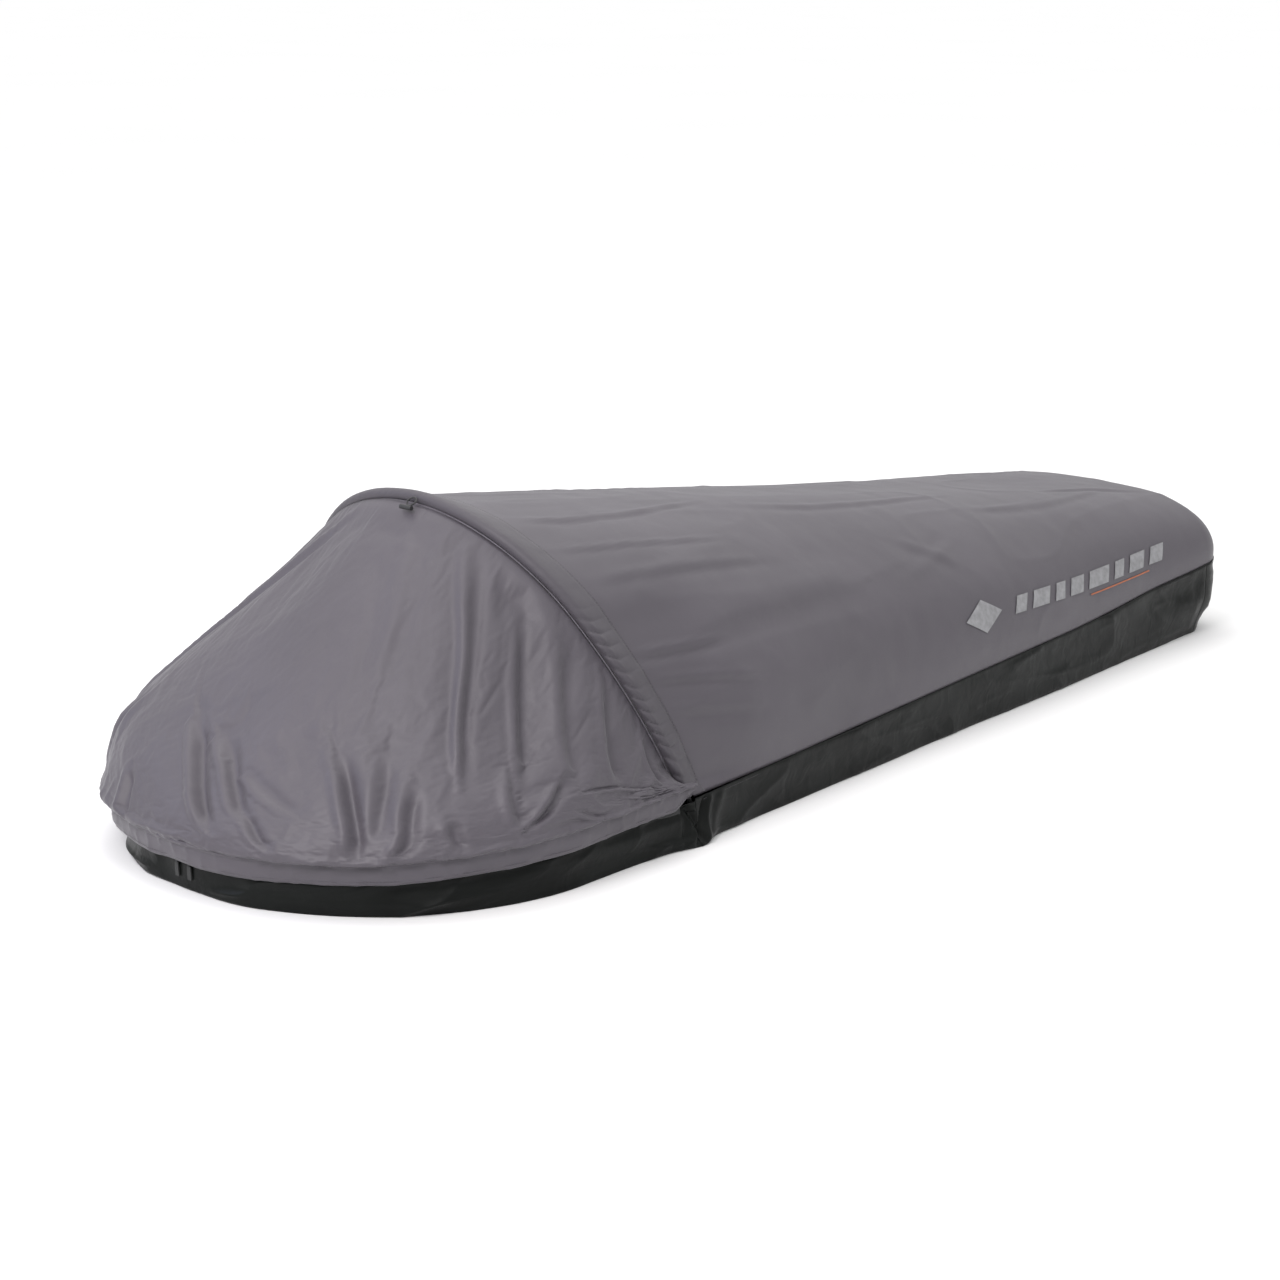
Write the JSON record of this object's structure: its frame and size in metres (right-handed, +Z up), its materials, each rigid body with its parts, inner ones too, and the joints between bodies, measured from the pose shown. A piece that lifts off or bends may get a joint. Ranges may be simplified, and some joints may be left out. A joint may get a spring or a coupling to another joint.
{
  "type": "hooped bivy sack",
  "caption": "One-person hooped bivy sack with a bathtub floor, tapered grey canopy, arched pole at the head and a zipped storm flap that lifts up to the hoop.",
  "frame": {"origin": "centre of the footprint on the ground, under the middle of the floor", "axes": "+X from the head end to the foot end, +Y to the sleeper's left side when the sleeper lies on the back with the head at -X, +Z up"},
  "size_m": [2.3221, 0.824, 0.5083],
  "materials": {
    "canopy_fabric": "grey coated ripstop nylon with a low sheen",
    "tub_fabric": "black coated nylon, slightly crinkled and glossy",
    "sleeve_fabric": "grey ripstop nylon, gathered over the pole",
    "zip_tape": "black woven zip tape",
    "zip_teeth": "black nylon coil teeth",
    "zip_metal": "black painted die-cast zip slider",
    "webbing": "black polyester webbing",
    "mesh": "fine black insect mesh",
    "pole": "anodised aluminium tube",
    "ferrule": "plain aluminium insert",
    "plastic": "black moulded nylon",
    "cord": "braided elastic cord"
  },
  "bodies": {
    "sack": {"floor_panel": "tub_fabric", "head_wall": "tub_fabric", "side_wall_near": "tub_fabric", "side_wall_far": "tub_fabric", "foot_wall": "tub_fabric", "canopy": "canopy_fabric", "pole_sleeve": "sleeve_fabric", "pole_section_1": "pole", "pole_section_2": "pole", "pole_section_3": "pole", "pole_section_4": "pole", "pole_ferrules": "ferrule", "pole_tips": "plastic", "shock_cord": "cord", "pole_pocket_near": "webbing", "pole_pocket_far": "webbing", "hoop_patch_near": "tub_fabric", "hoop_patch_far": "tub_fabric", "zip_tape_lower": "zip_tape", "zip_teeth_lower": "zip_teeth", "mesh_tape_lower": "zip_tape", "mesh_teeth_lower": "zip_teeth"},
    "flap_rim": {"storm_flap": "canopy_fabric", "flap_hem": "canopy_fabric", "zip_tape_upper": "zip_tape", "zip_teeth_upper": "zip_teeth"},
    "mesh_rim": {"mesh_door": "mesh", "mesh_tape_upper": "zip_tape", "mesh_teeth_upper": "zip_teeth"},
    "slider_near": {"zip_slider_near": "zip_metal"},
    "slider_far": {"zip_slider_far": "zip_metal"},
    "pull_near": {"zip_pull_near": "webbing"},
    "pull_far": {"zip_pull_far": "webbing"},
    "mesh_slider": {"mesh_slider": "zip_metal"},
    "mesh_pull": {"mesh_pull": "webbing"},
    "loop_head": {"peg_loop_head": "webbing"},
    "loop_foot": {"peg_loop_foot": "webbing"},
    "tieback": {"tieback_loop": "cord", "tieback_toggle": "plastic"}
  },
  "joints": [
    {"name": "flap_hinge", "type": "hinge", "parent": "sack", "child": "flap_rim", "pos_m": [-0.5167, 0, 0.072], "axis": [0, 1, 0], "range_deg": [0, 58], "deforming": ["storm_flap"]},
    {"name": "mesh_hinge", "type": "hinge", "parent": "sack", "child": "mesh_rim", "pos_m": [-0.5167, 0, 0.072], "axis": [0, 1, 0], "range_deg": [0, 41], "deforming": ["mesh_door"]},
    {"name": "zip_slide_near", "type": "hinge", "parent": "sack", "child": "slider_near", "pos_m": [-0.74856, 0, 0.06392], "axis": [-0.0348, 0, 0.9994], "range_deg": [0, 84]},
    {"name": "zip_slide_far", "type": "hinge", "parent": "sack", "child": "slider_far", "pos_m": [-0.74856, 0, 0.06392], "axis": [-0.0348, 0, 0.9994], "range_deg": [-84, 0]},
    {"name": "pull_swing_near", "type": "hinge", "parent": "slider_near", "child": "pull_near", "pos_m": [-1.15104, -0.01406, 0.05191], "axis": [-0.0349, 0.9994, -0.0012], "range_deg": [0, 30]},
    {"name": "pull_swing_far", "type": "hinge", "parent": "slider_far", "child": "pull_far", "pos_m": [-1.15104, 0.01406, 0.05191], "axis": [0.0349, 0.9994, 0.0012], "range_deg": [0, 30]},
    {"name": "mesh_zip_slide", "type": "hinge", "parent": "sack", "child": "mesh_slider", "pos_m": [-0.74856, 0, 0.06392], "axis": [-0.0348, 0, 0.9994], "range_deg": [-74, 0]},
    {"name": "mesh_pull_swing", "type": "hinge", "parent": "mesh_slider", "child": "mesh_pull", "pos_m": [-1.12666, 0.05319, 0.04775], "axis": [-0.1391, -0.9903, -0.0048], "range_deg": [0, 85]},
    {"name": "loop_swing_head", "type": "hinge", "parent": "sack", "child": "loop_head", "pos_m": [-1.0696, 0.25071, 0.0335], "axis": [0, 1, 0], "range_deg": [0, 80]},
    {"name": "loop_swing_foot", "type": "hinge", "parent": "sack", "child": "loop_foot", "pos_m": [1.1562, 0, 0.0335], "axis": [0, -1, 0], "range_deg": [0, 85]},
    {"name": "tieback_swing", "type": "hinge", "parent": "sack", "child": "tieback", "pos_m": [-0.71647, -0.02, 0.50206], "axis": [0, 1, 0], "range_deg": [0, 80]}
  ],
  "couplings": [
    {"joint": "mesh_hinge", "follows": "flap_hinge", "ratio": 0.7}
  ]
}
